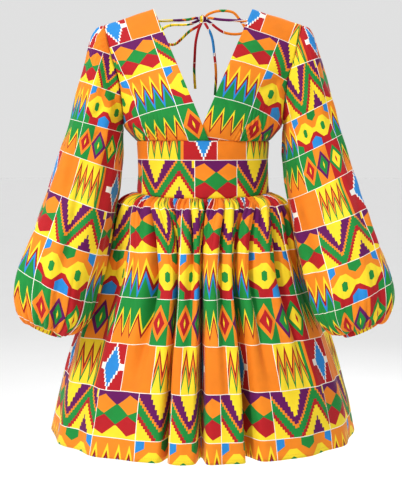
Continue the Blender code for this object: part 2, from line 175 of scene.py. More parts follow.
SLEEVE_RINGS = table(
    "outer_x outer_down inner_x inner_down centre_y half_depth lean head fold cuff_gather",
    (210, 39, 160.8, 230, 0, 50, 0, 1.4, 0.0, 0),
    (221, 57, 160.5, 234, 0, 55, 0, 1.0, 0.5, 0),
    (240, 124, 159, 250, -3, 60, 0, 0.3, 1.2, 0),
    (254, 170, 159, 275, -6, 61, 3, 0, 1.6, 0),
    (268, 228, 160.5, 301, -13, 62, 8, 0, 1.8, 0),
    (288, 298, 164, 342, -27, 66, 14, 0, 2.0, 0),
    (307.5, 372, 172, 400, -66, 68, 19, 0, 2.2, 0),
    (324.5, 430, 181, 462, -102, 73, 22, 0, 2.5, 0),
    (339.5, 477, 190.5, 510, -128, 75, 20, 0, 2.8, 0),
    (350, 520, 199, 543, -143, 76, 15, 0, 3.0, 0.4),
    (352, 551, 205, 566, -149, 74, 10, 0, 2.6, 0.9),
    (348, 574, 213.5, 587, -152, 68, 6, 0, 2.0, 1.5),
    (340, 587, 227, 606, -153, 58, 3, 0, 1.2, 2.1),
    (332.5, 590, 244, 619, -153, 44, 0, 0, 0.6, 2.3),
    (322.9, 588.8, 260.5, 615.5, -153, 26, 0, 0, 0, 1.8),
)

CUFF_HEIGHT = 12.5
CUFF_OUTER = (328.4, 601.5)
CUFF_INNER = (266, 628.2)
CUFF_HALF_DEPTH = 26

TIE_DIAMETER = 5.5
KNOT_CENTRE = (0, 97, 9)
KNOT_RADIUS = 9
CORD_GAP = 0.6
KNOT_LEAD = 7
CORD_POINT_SPACING = 6
STRAP_ROUTES = {
    "left": ((0.97, -0.2, 0.05), [(32, 88, 6.5), (60, 71, 2.5), (86, 47, -1.5), (95.4, 36.2, -2.5)]),
    "right": ((-0.97, -0.2, 0.05), [(-32, 88, 6), (-60, 71, 2), (-86, 47, -1.5), (-95.4, 36.2, -2.5)]),
}
LOOP_ROUTES = {
    "left": (
        (0.7, 0.35, 0.62),
        [(28, 104, 25), (47, 105, 26), (64, 105, 22), (77, 105, 7), (87, 104, -8),
         (84, 103, -19), (66, 103, -22), (46, 104, -19), (31, 104, -11)],
        (0.8, 0.5, -0.33),
    ),
    "right": (
        (-0.85, 0.42, -0.3),
        [(-26, 103, -1), (-44, 104, -2.5), (-64, 104, -3), (-81, 103, -9), (-91, 102, -23),
         (-85, 102, -37), (-70, 103, -43), (-57, 104, -42), (-44, 104, -31), (-28, 104, -16)],
        (-0.45, 0.45, -0.77),
    ),
}
TAIL_ROUTES = {
    "left": (
        (0.35, -0.5, -0.79),
        [(14, 88.5, -18), (20, 90, -36), (23.5, 92, -64), (26.5, 92, -92), (27, 93, -118), (25, 93, -148)],
    ),
    "right": (
        (-0.3, -0.5, -0.81),
        [(-10, 88.5, -17), (-15, 90.5, -40), (-17, 92, -70), (-18, 92, -100), (-16, 93, -135)],
    ),
}

# The print's chart, in units of 2 mm: four rows of motifs, each 41 high, in a repeat 102.4 wide.
# A narrow block comes first in a row and a wide one after it, but for the row of crosses.
PRINT_UNIT = 2
ROW_HEIGHT = 41
REPEAT = 102.4
NARROW_BLOCK = 41.4
WIDE_BLOCK = REPEAT - NARROW_BLOCK
WHITE_LINE = 0.33  # half the width of the lines between rows and blocks

# Soft creases that lie on the cut cloth: from one place to another, how broad and how deep.
CREASE = "across down across_to down_to width depth"


def dye(red, green, blue):
    """A printed colour, from the 0 to 255 of a screen to the shader's linear light."""
    shares = (red / 255, green / 255, blue / 255)
    return (*(((s + 0.055) / 1.055) ** 2.4 if s > 0.04 else s / 12.92 for s in shares), 1)


ORANGE = dye(240, 142, 38)
DEEP_ORANGE = dye(236, 134, 34)
YELLOW = dye(248, 219, 52)
GREEN = dye(34, 143, 66)
CRIMSON = dye(184, 32, 40)
DARK_RED = dye(160, 22, 30)
PURPLE = dye(106, 22, 98)
SKY_BLUE = dye(48, 142, 212)
WHITE = dye(246, 240, 232)


# Shader maths


def math_node(operation):
    """A method of Value that adds a Math node."""
    return lambda self, *others: self.maths(operation, self, *others)


class Value:
    """A number in a shader. Its operators add Math nodes, so that a pattern reads as an expression."""

    def __init__(self, shader, socket):
        self.shader = shader
        self.socket = socket

    def maths(self, operation, *values):
        sockets = dict(enumerate(values))
        made = self.shader.node("ShaderNodeMath", {"operation": operation}, sockets)
        return Value(self.shader, made.outputs[0])

    def __rsub__(self, other):
        return self.maths("SUBTRACT", other, self)

    __add__ = math_node("ADD")
    __sub__ = math_node("SUBTRACT")
    __mul__ = __and__ = math_node("MULTIPLY")
    __truediv__ = math_node("DIVIDE")
    __mod__ = math_node("FLOORED_MODULO")
    __lt__ = math_node("LESS_THAN")
    __gt__ = math_node("GREATER_THAN")
    __or__ = at_least = math_node("MAXIMUM")
    at_most = math_node("MINIMUM")
    __abs__ = math_node("ABSOLUTE")
    floor = math_node("FLOOR")
    sine = math_node("SINE")

    def steps(self, size):
        """The value held level over steps of this size, at the middle of each."""
        return (self / size).floor() * size + size / 2


class Shader:
    """The nodes of a material or of the room, and the one of them that all the others lead to."""

    def __init__(self, owner, last_node="Principled BSDF"):
        self.owner = owner
        self.owner.use_nodes = True
        self.tree = owner.node_tree
        self.last_node = self.tree.nodes[last_node]

    def feed(self, node, values):
        """Gives a node's sockets their values or links."""
        for name, value in values.items():
            socket = node.inputs[name]
            if isinstance(value, Value):
                value = value.socket
            if isinstance(value, bpy.types.NodeSocket):
                self.tree.links.new(value, socket)
            else:
                socket.default_value = value

    def node(self, kind, settings, values):
        """Adds a node: its settings first, and then the values or links of its sockets."""
        made = self.tree.nodes.new(kind)
        for setting, value in settings.items():
            setattr(made, setting, value)
        self.feed(made, values)
        return made

    def finished(self, values):
        self.feed(self.last_node, values)
        return self.owner

    def place(self):
        return self.node("ShaderNodeTexCoord", {}, {}).outputs["Object"]

    def parts(self, vector):
        """The three numbers of a vector."""
        outputs = self.node("ShaderNodeSeparateXYZ", {}, {"Vector": vector}).outputs
        return [Value(self, output) for output in outputs]

    def noise(self, scale, detail):
        values = {"Vector": self.place(), "Scale": scale, "Detail": detail}
        return Value(self, self.node("ShaderNodeTexNoise", {}, values).outputs["Fac"])

    def bump(self, height, strength, distance):
        values = {"Strength": strength, "Distance": distance, "Height": height}
        return self.node("ShaderNodeBump", {}, values).outputs["Normal"]

    def paint(self, base, colour, mask):
        """The colour where the mask is 1, and the base elsewhere."""
        mixed = self.node("ShaderNodeMix", {"data_type": "RGBA"}, {0: mask, 6: base, 7: colour})
        return mixed.outputs[2]

    def bands(self, base, value, starts):
        """Bands of colour, each from where the value passes its number."""
        for colour, start in starts:
            base = self.paint(base, colour, value > start)
        return base

    def layers(self, base, zigzag, y, bands):
        """Bands of colour under each other. Each starts at one height at a peak and one in a valley."""
        for colour, peak, valley in bands:
            base = self.paint(base, colour, y > zigzag * (valley - peak) + peak)
        return base


# The print


def teeth(x, count):
    """0 at the peaks and 1 in the valleys of this many teeth over a block."""
    return abs((x * count) % 1 - 0.5) * 2


def in_diamond(sideways, half_width, upright, half_height):
    """Where a place, given by its distances from the middle, is inside a diamond."""
    return (sideways / half_width + upright / half_height) < 1


def diamond_block(shader, x, y):
    """Two orange diamonds over a green one over two red ones, between purple and yellow."""
    top, centre, foot = 0.28, 0.51, 0.73
    column = 0.28  # how far the upper and lower diamonds lie from the block's middle
    inner_half, outer_half, half_height = 0.26, 0.46, 0.21
    off_centre = abs(x - 0.5)
    inner = (off_centre - column) < 0
    sideways = abs(off_centre - column) * (inner * (1 / inner_half - 1 / outer_half) + 1 / outer_half)
    colour = shader.bands(PURPLE, y, [(GREEN, top), (CRIMSON, centre), (YELLOW, foot)])
    for tone, middle in ((ORANGE, top), (CRIMSON, foot)):
        colour = shader.paint(colour, tone, in_diamond(sideways, 1, abs(y - middle), half_height))
    middle_one = in_diamond(off_centre, inner_half, abs(y - centre), 0.2)
    edge_ones = in_diamond(0.5 - off_centre, 0.22, abs(y - centre), 0.12)
    return shader.paint(colour, GREEN, middle_one | edge_ones)


def chevron_block(shader, x, y):
    """Stepped stripes down into a V and up over a stepped pyramid. x and y are in the chart's units."""
    vee, peak = 20.7, 45.75  # where the V's foot and the pyramid's top are
    pyramid_down, tier_height, tier_growth, first_tier = 25.4, 3.9, 2.1, 0.8
    wedge_down, wedge_slope = 24.2, 2.3
    corner_width, corner_height = 2.8, 7.4
    stepped = x.steps(1.9)
    rise = (
        (vee - stepped).at_least(0) * 1.33
        + (stepped - vee).at_least(0).at_most(peak - vee) * 1.4
        - (stepped - peak).at_least(0) * 1.5
    )
    colour = shader.paint(YELLOW, PURPLE, (y + abs(stepped - vee) * wedge_slope) > wedge_down)
    colour = shader.bands(colour, y + rise, [(ORANGE, 30.4), (GREEN, 34), (CRIMSON, 44), (YELLOW, 49.5)])
    tier = ((y - pyramid_down) / tier_height).floor() * tier_growth + first_tier
    colour = shader.paint(colour, PURPLE, (abs(x - peak) < tier) & (y > pyramid_down))
    return shader.paint(colour, YELLOW, (x > WIDE_BLOCK - corner_width) & (y < corner_height))


def eye_block(shader, x, y):
    """A yellow band with two lobes, each with a green hexagon, between orange and red."""
    centre, thinnest, thickest = 0.515, 0.065, 0.285
    eye_width, eye_height, mark_slope = 0.2, 0.125, 0.9
    lobe = teeth(x, 2)
    half = (0.29 - (lobe - eye_width) * 0.36).at_least(thinnest).at_most(thickest)
    colour = shader.paint(ORANGE, CRIMSON, y > 0.51)
    colour = shader.paint(colour, YELLOW, abs(y - centre) < half)
    eye = (lobe < eye_width) & ((abs(y - centre) + lobe * 0.22) < eye_height)
    colour = shader.paint(colour, GREEN, eye)
    side, middle = x.at_most(1 - x) * 0.85, abs(x - 0.5)
    marks = [
        (SKY_BLUE, side, 0.11, y + side, 0.27),
        (GREEN, side, 0.11, 1 - y + side, 0.28),
        (GREEN, middle, 0.12, y + middle * mark_slope, 0.27),
        (SKY_BLUE, middle, 0.13, 1 - y + middle * mark_slope, 0.31),
    ]
    for tone, distance, half_width, depth, reach in marks:
        colour = shader.paint(colour, tone, (distance < half_width) & (depth < reach))
    return colour


def lozenge_block(shader, x, y):
    """Three panels, each with a bordered lozenge and a slit, joined side to side."""
    sideways, upright = abs((x * 3) % 1 - 0.5), abs(y - 0.51)
    second, third = (x > 1 / 3), (x > 2 / 3)
    join = upright < 0.03
    border = in_diamond(sideways, 0.5, upright, 0.4) | join
    lozenge = in_diamond(sideways, 0.31, upright, 0.27)
    slit = in_diamond(sideways, 0.052, upright, 0.11)

    def by_panel(*colours):
        return shader.paint(shader.paint(colours[0], colours[1], second), colours[2], third)

    colour = by_panel(GREEN, ORANGE, CRIMSON)
    colour = shader.paint(colour, by_panel(ORANGE, PURPLE, GREEN), border)
    colour = shader.paint(colour, by_panel(CRIMSON, GREEN, YELLOW), lozenge)
    return shader.paint(colour, by_panel(YELLOW, YELLOW, CRIMSON), slit)


def cross_row(shader, u, y):
    """A stepped blue diamond with a white outline on red, then orange, then yellow flames."""
    # Where each block starts across the repeat.
    cross, orange, flames, stripe, last = 91.6, 21.5, 51.5, 86, 88.8
    sideways = abs((u - cross) % REPEAT - 19.3)
    upright = abs(y.steps(1 / 12) - 0.5)
    outline = in_diamond(sideways, 9.6, upright, 0.5)
    arms = (sideways > 7.5) & (sideways < 14.2) & (abs(y - 0.5) < 0.07)
    spikes = sideways < 0.6
    diamond = in_diamond(sideways, 7.9, upright, 0.42)
    colour = shader.paint(CRIMSON, WHITE, outline | arms | spikes)
    colour = shader.paint(colour, SKY_BLUE, diamond)
    flame = shader.layers(
        YELLOW, teeth((u - flames) / (stripe - flames), 4), y,
        [(DARK_RED, 0.05, 0.56), (ORANGE, 0.2, 0.72), (GREEN, 0.36, 0.86), (YELLOW, 0.47, 1.0)],
    )
    rest = shader.bands(DEEP_ORANGE, u, [(flame, flames), (GREEN, stripe), (ORANGE, last)])
    colour = shader.paint(rest, colour, (u < orange) | (u > cross))
    return shader.paint(colour, WHITE, (abs(u - orange) < WHITE_LINE) | (abs(u - flames) < WHITE_LINE))


def wax_print(shader, across, down):
    """The whole print at a place on the cloth, in millimetres. down is 0 at the top of a diamond row."""
    u = (across / PRINT_UNIT) % REPEAT
    v = down / (PRINT_UNIT * ROW_HEIGHT)
    y = v % 1
    row = v.floor() % 4
    narrow = u < NARROW_BLOCK
    in_narrow = u / NARROW_BLOCK
    wide_units = u - NARROW_BLOCK
    in_wide = wide_units / WIDE_BLOCK
    tooth = teeth(in_narrow, 4)
    diamonds = shader.paint(
        chevron_block(shader, wide_units, y * ROW_HEIGHT), diamond_block(shader, in_narrow, y), narrow
    )
    blue_flames = shader.layers(
        ORANGE, tooth, y,
        [(YELLOW, 0.11, 0.6), (DARK_RED, 0.27, 0.73), (SKY_BLUE, 0.4, 0.86), (GREEN, 0.53, 1.0)],
    )
    eyes = shader.paint(eye_block(shader, in_wide, y), blue_flames, narrow)
    green_flames = shader.layers(
        GREEN, tooth, y, [(YELLOW, 0.2, 0.7), (DARK_RED, 0.32, 0.79), (ORANGE, 0.43, 0.88)]
    )
    lozenges = shader.paint(lozenge_block(shader, in_wide, y), green_flames, narrow)
    colour = shader.bands(diamonds, row, [(eyes, 0.5), (lozenges, 1.5)])
    block_edge = (abs(u - NARROW_BLOCK) < WHITE_LINE) | (u < WHITE_LINE) | (u > REPEAT - WHITE_LINE)
    colour = shader.paint(colour, WHITE, block_edge)
    colour = shader.paint(colour, cross_row(shader, u, y), row > 2.5)
    line = WHITE_LINE / ROW_HEIGHT
    return shader.paint(colour, WHITE, (y < line) | (y > 1 - line))


WEFT_PITCH, WARP_PITCH = 0.55, 0.6


def printed_cotton(name, on_surface=True):
    """The dress's cotton. on_surface reads the cut cloth's own coordinates, or else the space round it."""
    shader = Shader(bpy.data.materials.new(name))
    if on_surface:
        uv = shader.node("ShaderNodeUVMap", {"uv_map": "cut_cloth"}, {}).outputs["UV"]
        across, down, _ = shader.parts(uv)
    else:
        x, _, z = shader.parts(shader.place())
        across, down = x / MM, z / MM
    wash = shader.noise(scale=38.0, detail=4.0)
    tint = {0: wax_print(shader, across, down), "Scale": wash * 0.22 + 0.86}
    washed = shader.node("ShaderNodeVectorMath", {"operation": "SCALE"}, tint)
    threads = (across * (math.tau / WEFT_PITCH)).sine() * (down * (math.tau / WARP_PITCH)).sine()
    slubs = shader.noise(scale=420.0, detail=3.0)
    return shader.finished({
        "Base Color": washed.outputs["Vector"],
        "Roughness": wash * 0.16 + 0.66,
        "Sheen Weight": 0.12,
        "Sheen Roughness": 0.4,
        "Specular IOR Level": 0.32,
        "Normal": shader.bump(threads * 0.35 + slubs * 0.9, strength=0.3, distance=0.00035),
    })


def sewing_thread():
    shader = Shader(bpy.data.materials.new("sewing_thread"))
    twist = shader.noise(scale=900.0, detail=2.0)
    return shader.finished({
        "Base Color": shader.paint(dye(214, 92, 24), dye(240, 150, 60), twist),
        "Roughness": 0.55,
        "Normal": shader.bump(twist, strength=0.4, distance=0.0002),
    })


# Curves through tables, and cloth surfaces


def smooth_curve(knots, values, at):
    """Values at any places between a table's knots, on a smooth curve that never overshoots them."""
    knots, values = np.asarray(knots, float), np.asarray(values, float)
    at = np.clip(np.asarray(at, float), knots[0], knots[-1])
    shape = (-1,) + (1,) * (values.ndim - 1)
    slope = np.diff(values, axis=0) / np.diff(knots).reshape(shape)
    before, after = slope[:-1], slope[1:]
    together = before * after > 0
    middle = np.where(together, 2 * before * after / np.where(together, before + after, 1), 0)
    tangent = np.concatenate([slope[:1], middle, slope[-1:]])
    index = np.clip(np.searchsorted(knots, at, side="right") - 1, 0, len(knots) - 2)
    span = np.diff(knots)[index]
    t = ((at - knots[index]) / span).reshape(shape)
    span = span.reshape(shape)
    return (
        values[index] * (2 * t**3 - 3 * t**2 + 1)
        + tangent[index] * span * (t**3 - 2 * t**2 + t)
        + values[index + 1] * (3 * t**2 - 2 * t**3)
        + tangent[index + 1] * span * (t**3 - t**2)
    )


def read_table(rows, knots, at):
    """One row of the table's own kind, with each column's value at every wanted place."""
    values = smooth_curve(knots, np.array(rows, float), at)
    return type(rows[0])(*(values[:, [column]] for column in range(values.shape[1])))


def running_length(points, axis):
    """Distance along a grid of points from its first row or column."""
    steps = np.linalg.norm(np.diff(points, axis=axis), axis=2)
    start = np.zeros_like(np.take(steps, [0], axis=axis))
    return np.cumsum(np.concatenate([start, steps], axis=axis), axis=axis)


def running_sum(steps):
    return np.concatenate([[0], np.cumsum(steps)])


def distance_along(line):
    """Distance along a line of points from its first one."""
    return running_sum(np.linalg.norm(np.diff(line, axis=0), axis=1))


def read_line(line, along, wanted):
    """The line's values at these distances along it."""
    return np.array([np.interp(wanted, along, values) for values in line.T]).T


def eased(values, start, end):
    share = np.clip((values - start) / (end - start), 0, 1)
    return share * share * (3 - 2 * share)


def bell(distance, width):
    return np.exp(-((distance / width) ** 2))


def gathers(across, pitch, seed):
    """Rounded ridges between sharper valleys, uneven in width and in height, from -1 to 1."""
    # The waves' lengths have no common measure, so no two ridges are alike.
    drift = 0.9 * np.sin(across / (3.1 * pitch) + seed) + 0.7 * np.sin(across / (5.3 * pitch) + 2 * seed)
    height = 0.74 + 0.26 * np.sin(across / (2.3 * pitch) + 3 * seed)
    return height * (2 * np.abs(np.cos(math.pi * across / pitch + drift)) ** 0.55 - 1)


WAVES = 8
WAVE_LENGTHS = (38, 150)


def unevenness(across, down, seed):
    """Small rises and dips all over a cloth, from broad waves in several directions."""
    draw = np.random.default_rng(seed)
    total = 0.0
    for _ in range(WAVES):
        turn, wave, phase = draw.uniform(0, math.pi), draw.uniform(*WAVE_LENGTHS), draw.uniform(0, math.tau)
        total = total + np.sin((across * math.cos(turn) + down * math.sin(turn)) * math.tau / wave + phase)
    return total / math.sqrt(WAVES)


def crease_depth(creases, across, down):
    """How far the creases push the cloth out. A trough's depth is negative."""
    total = 0.0
    for crease in creases:
        run_across, run_down = crease.across_to - crease.across, crease.down_to - crease.down
        t = (across - crease.across) * run_across + (down - crease.down) * run_down
        t = np.clip(t / (run_across**2 + run_down**2), 0, 1)
        off = np.hypot(across - crease.across - t * run_across, down - crease.down - t * run_down)
        total = total + crease.depth * bell(off, crease.width) * np.sin(math.pi * (0.1 + 0.8 * t))
    return total


def grid_normals(points, axis, closed=False):
    """Unit normals of a grid of points, on the side away from the axis that the cloth goes round."""
    wide = np.concatenate([points[:, -2:-1], points, points[:, 1:2]], axis=1) if closed else points
    normals = np.cross(np.gradient(wide, axis=1), -np.gradient(wide, axis=0))
    if closed:
        normals = normals[:, 1:-1]
    normals /= np.maximum(np.linalg.norm(normals, axis=2, keepdims=True), 1e-9)
    return normals * np.sign((normals * (points - axis)).sum())


def pushed_out(points, out, axis, closed=False):
    return points + grid_normals(points, axis, closed) * out[:, :, None]


def mesh_from(form, name):
    mesh = bpy.data.meshes.new(name)
    form.to_mesh(mesh)
    form.free()
    return mesh


def add_piece(name, mesh, material, replaced):
    mesh.materials.append(material)
    piece = bpy.data.objects.new(name, mesh)
    bpy.context.scene.collection.objects.link(piece)
    if replaced:
        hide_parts(*replaced)
    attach(piece, "root")
    return piece


def add_cloth(name, points, print_across, print_down, axis, material, replaced):
    """A cut piece: a grid laid on rows of points, with the print's place at each as its UV."""
    places = np.stack(np.broadcast_arrays(print_across, print_down), axis=2)
    turned = np.cross(np.gradient(points, axis=1), -np.gradient(points, axis=0))
    if (turned * (points - axis)).sum() < 0:
        points, places = points[:, ::-1], places[:, ::-1]
    lines, columns = points.shape[0] - 1, points.shape[1] - 1
    form = bmesh.new()
    form.loops.layers.uv.new("cut_cloth")
    bmesh.ops.create_grid(form, x_segments=columns, y_segments=lines, size=1)
    mesh = mesh_from(form, name)
    flat = np.empty(len(mesh.vertices) * 3, np.float32)
    mesh.vertices.foreach_get("co", flat)
    flat = flat.reshape(-1, 3)
    column = np.rint((flat[:, 0] + 1) / 2 * columns).astype(int)
    line = np.rint((1 - flat[:, 1]) / 2 * lines).astype(int)
    mesh.vertices.foreach_set("co", (points[line, column] * MM).astype(np.float32).ravel())
    corners = np.empty(len(mesh.loops), np.int32)
    mesh.loops.foreach_get("vertex_index", corners)
    uv = places[line[corners], column[corners]].astype(np.float32)
    mesh.uv_layers["cut_cloth"].data.foreach_set("uv", uv.ravel())
    mesh.shade_smooth()
    mesh.update()
    piece = add_piece(name, mesh, material, replaced)
    layer = piece.modifiers.new("Cloth thickness", "SOLIDIFY")
    layer.thickness = CLOTH_THICKNESS * MM
    layer.offset = 0
    return piece


STITCH_PITCH = 3.4
STITCH_HALF_SIZE = (1.15, 0.28, 0.24)  # along the seam, across it and out from the cloth
STITCH_LIFT = 0.05


def add_stitches(name, line, normals, material):
    """Small stitches at even distances along a line of the cloth's points, joined in one mesh."""
    along = distance_along(line)
    wanted = np.arange(STITCH_PITCH, along[-1] - STITCH_PITCH, STITCH_PITCH)
    places = read_line(line, along, wanted)
    ahead = read_line(line, along, wanted + 1) - places
    form = bmesh.new()
    for place, forward, up in zip(places, ahead, read_line(normals, along, wanted)):
        forward, up = Vector(forward).normalized(), Vector(up).normalized()
        directions = (forward, up.cross(forward).normalized(), up)
        turn = Matrix([way * size for way, size in zip(directions, STITCH_HALF_SIZE)]).transposed().to_4x4()
        spot = Matrix.Translation((Vector(place) + up * (CLOTH_THICKNESS / 2 + STITCH_LIFT)) * MM)
        bmesh.ops.create_uvsphere(
            form, u_segments=6, v_segments=4, radius=1, matrix=spot @ Matrix.Scale(MM, 4) @ turn
        )
    bmesh.ops.recalc_face_normals(form, faces=form.faces)
    mesh = mesh_from(form, name)
    mesh.shade_smooth()
    add_piece(name, mesh, material, ())


# The camera, lights and floor


def add_camera():
    data = bpy.data.cameras.new("camera")
    data.lens = CAMERA_LENS
    data.sensor_width = CAMERA_SENSOR
    camera = bpy.data.objects.new("camera", data)
    camera.location = CAMERA_PLACE
    camera.rotation_euler = (math.radians(90 - CAMERA_TILT), 0, 0)
    bpy.context.scene.collection.objects.link(camera)
    bpy.context.scene.camera = camera


LAMPS = table(
    "name place size power",
    ("key_light", (-1.9, -2.2, 1.4), 0.7, 59),
    ("fill_light", (2.4, -1.9, 0.3), 2.0, 5),
    ("back_light", (0.9, 2.4, 1.2), 1.8, 30),
)
LAMP_AIM = Vector((0, 0, -0.4))
ROOM_BRIGHTNESS = 1.12
# The share of that at each height over the horizon, which is given as the sine of its angle.
ROOM_LIGHT = [(-1.0, 0.57), (0.14, 0.57), (0.26, 0.08), (0.55, 0.08), (0.72, 1.0)]


def add_lights():
    for lamp in LAMPS:
        data = bpy.data.lights.new(lamp.name, "AREA")
        data.size = lamp.size
        data.energy = lamp.power
        light = bpy.data.objects.new(lamp.name, data)
        light.location = lamp.place
        light.rotation_euler = (LAMP_AIM - Vector(lamp.place)).to_track_quat("-Z", "Y").to_euler()
        bpy.context.scene.collection.objects.link(light)
    room = Shader(bpy.data.worlds.new("studio"), "Background")
    ways = room.node("ShaderNodeTexCoord", {}, {}).outputs["Generated"]
    height = room.parts(ways)[2]
    spread = room.node("ShaderNodeMapRange", {}, {"From Min": -1, "Value": height})
    ramp = room.node("ShaderNodeValToRGB", {}, {"Fac": spread.outputs["Result"]})
    stops = ramp.color_ramp.elements
    while len(stops) < len(ROOM_LIGHT):
        stops.new(0.5)
    for stop, (sine, bright) in zip(stops, ROOM_LIGHT):
        stop.position = (sine + 1) / 2
        stop.color = (bright, bright, bright, 1)
    scene = bpy.context.scene
    scene.world = room.finished({"Color": ramp.outputs["Color"], "Strength": ROOM_BRIGHTNESS})
    scene.view_settings.view_transform = "Standard"
    scene.view_settings.look = "Medium High Contrast"


FLOOR_HEIGHT = -1.38
FLOOR_RADIUS = 40


def add_floor():
    form = bmesh.new()
    bmesh.ops.create_circle(form, cap_ends=True, segments=96, radius=FLOOR_RADIUS)
    bmesh.ops.translate(form, verts=form.verts, vec=(0, 0, FLOOR_HEIGHT))
    mesh = mesh_from(form, "studio_floor")
    shader = Shader(bpy.data.materials.new("floor_paper"))
    tone = shader.paint(dye(240, 240, 240), dye(243, 243, 243), shader.noise(scale=3.0, detail=2.0))
    mesh.materials.append(shader.finished({"Base Color": tone, "Roughness": 0.9}))
    floor = bpy.data.objects.new("studio_floor", mesh)
    bpy.context.scene.collection.objects.link(floor)


# The tie


ROUTE_STEPS = 24  # from each point of a route to the next


def smooth_route(points):
    """Evenly spaced points on a smooth curve through the route's own points, and its length."""
    ends = [2 * points[0] - points[1], *points, 2 * points[-1] - points[-2]]
    dense = []
    for before, start, end, after in zip(ends, ends[1:], ends[2:], ends[3:]):
        for step in range(ROUTE_STEPS):
            t = step / ROUTE_STEPS
            dense.append(
                0.5 * (2 * start + (end - before) * t
                       + (2 * before - 5 * start + 4 * end - after) * t ** 2
                       + (3 * start - before - 3 * end + after) * t ** 3)
            )
    dense = np.array([*dense, points[-1]])
    along = distance_along(dense)
    wanted = np.linspace(0, along[-1], max(round(along[-1] / CORD_POINT_SPACING), 4) + 1)
    return read_line(dense, along, wanted), along[-1]


def knot_exit(direction):
    away = Vector(direction).normalized()
    start = Vector(KNOT_CENTRE) + away * (KNOT_RADIUS + CORD_GAP)
    return [start, start + away * KNOT_LEAD]


def add_cord(name, points, node, material):
    """A turned cotton tube along a route in millimetres, from where it leaves what holds it."""
    route, length = smooth_route([Vector(point) for point in points])
    curve = bpy.data.curves.new(name, "CURVE")
    curve.dimensions = "3D"
    curve.bevel_depth = TIE_DIAMETER / 2 * MM
    curve.bevel_resolution = 4
    curve.use_fill_caps = True
    spline = curve.splines.new("POLY")
    spline.points.add(len(route) - 1)
    for target, point in zip(spline.points, route * MM):
        target.co = (*point, 1)
    cord = add_piece(name, curve, material, (node,))
    tuple(route[0] * MM)
    length * MM


KNOT_HALF_SIZE = (7.4, 6.0, 6.6)
WRAP_RADIUS = 2.7
WRAPS = [((1, 0.1, 0.12), 6.0), ((0.55, 0.1, 0.8), 5.4), ((-0.6, 0.15, 0.75), 5.4)]  # axis and reach


def add_knot(material):
    """The bow's knot: a rounded lump of crossed cords, with one wrapped round its middle."""
    form = bmesh.new()
    middle = Matrix.Translation(Vector(KNOT_CENTRE) * MM)
    lump = middle @ Matrix.Diagonal((*(size * MM for size in KNOT_HALF_SIZE), 1))
    bmesh.ops.create_uvsphere(form, u_segments=24, v_segments=16, radius=1, matrix=lump)
    upright = Matrix.Rotation(math.pi / 2, 4, "X")
    for axis, reach in WRAPS:
        aside = Matrix.Translation((reach * MM, 0, 0))
        ring = bmesh.ops.create_circle(form, segments=14, radius=WRAP_RADIUS * MM, matrix=aside @ upright)
        edges = {edge for vertex in ring["verts"] for edge in vertex.link_edges}
        bmesh.ops.spin(
            form, geom=[*ring["verts"], *edges], cent=(0, 0, 0), axis=(0, 0, 1),
            angle=math.tau, steps=36, use_merge=True,
        )
        # The new wrap is still at the origin, far from the rest of the knot.
        fresh = [vertex for vertex in form.verts if vertex.co.length < KNOT_CENTRE[1] * MM / 3]
        turn = Vector((0, 0, 1)).rotation_difference(Vector(axis)).to_matrix().to_4x4()
        bmesh.ops.transform(form, matrix=middle @ turn, verts=fresh)
    bmesh.ops.recalc_face_normals(form, faces=form.faces)
    mesh = mesh_from(form, "bow_knot")
    mesh.shade_smooth()
    return add_piece("bow_knot", mesh, material, ("tie_knot",))


def add_tie(material):
    knot = add_knot(material)
    for side, (direction, points) in STRAP_ROUTES.items():
        route = [*knot_exit(direction), *points][::-1]
        add_cord("strap_" + side, route, "tie_strap_" + side, material)
    for side, (leaving, points, returning) in LOOP_ROUTES.items():
        route = [*knot_exit(leaving), *points, *knot_exit(returning)[::-1]]
        add_cord("bow_loop_" + side, route, "tie_loop_" + side, material)
    for side, (direction, points) in TAIL_ROUTES.items():
        route = [*knot_exit(direction), *points]
        add_cord("tie_end_" + side, route, "tie_tail_" + side, material)


# The bodice

BODY_AXIS = np.array([0.0, 0.0, -200.0])
SEAM_DIP = 1.3  # mm that a piece's edge turns in at a seam
SEAM_REACH = 2.2
NECK_HEM, NECK_HEM_REACH, NECK_HEM_RISE = 5, 4.0, 0.35
BODICE_LINES = 120
BODICE_COLUMNS = 120
BUST_GATHER_SPAN = (0.47, 0.92)  # as shares of the panel's width
BUST_GATHER_WIDTH = 150
BUST_GATHER_PITCH = 7.2
BUST_GATHER_DEPTH = 1.5
FRONT_UNEVENNESS, BACK_UNEVENNESS = 0.55, 0.5
# How the print lies on each front: its place at the neck point, how far it turns along the neckline, and
# how its rows fall to the side, which is steeper past a stretch of the neckline and levels out further on.
FRONT_PRINT = dict(zip(SIDES, table(
    "across down turn fall steeper stretch levels_out",
    (103, 76, 0.054, 0.17, 0.08, (80, 170), 500),
    (14, 64, -0.035, 0.09, 0.15, (40, 120), 230),
)))
BACK_PRINT_PLACE = (51, 70)

